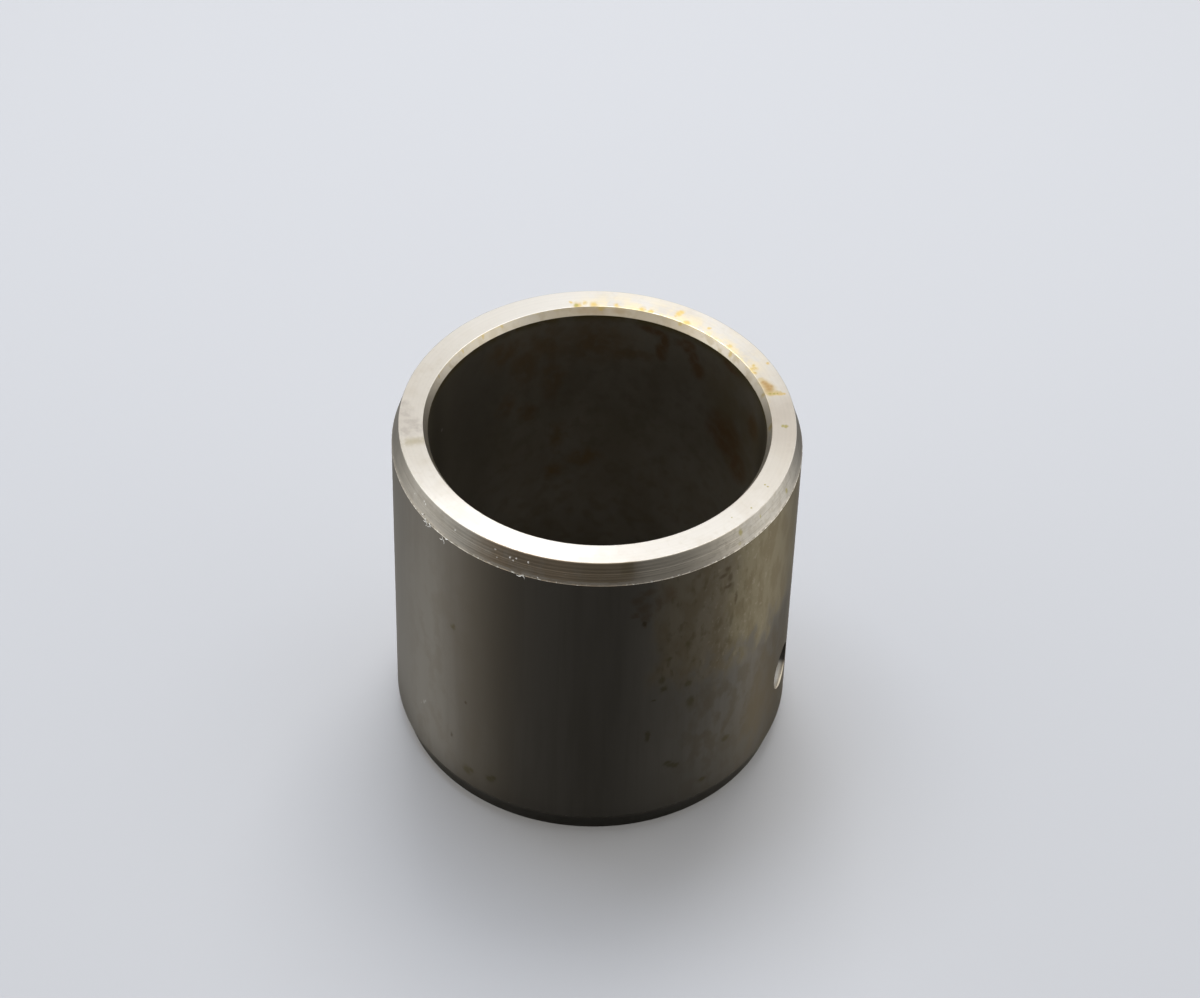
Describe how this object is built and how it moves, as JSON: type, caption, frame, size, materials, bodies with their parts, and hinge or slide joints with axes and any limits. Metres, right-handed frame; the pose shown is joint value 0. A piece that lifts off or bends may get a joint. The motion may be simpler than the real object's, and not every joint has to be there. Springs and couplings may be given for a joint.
{
  "type": "sleeve bushing",
  "caption": "Plain cylindrical steel sleeve bushing with a smooth through bore, tapered ends and one radial grease hole in its wall.",
  "frame": {"origin": "centre of the lower end face, which the sleeve stands on", "axes": "+Z along the bore's axis, from the lower to the upper end face; +X from the axis out through the grease hole"},
  "size_m": [0.085, 0.085, 0.08],
  "materials": {
    "machined_steel": "turned and ground bare steel with a film of oil, bright faced ends, darker outside and bore with brown rust and oil stains"
  },
  "bodies": {
    "root": {"bushing_sleeve": "machined_steel"}
  },
  "joints": []
}
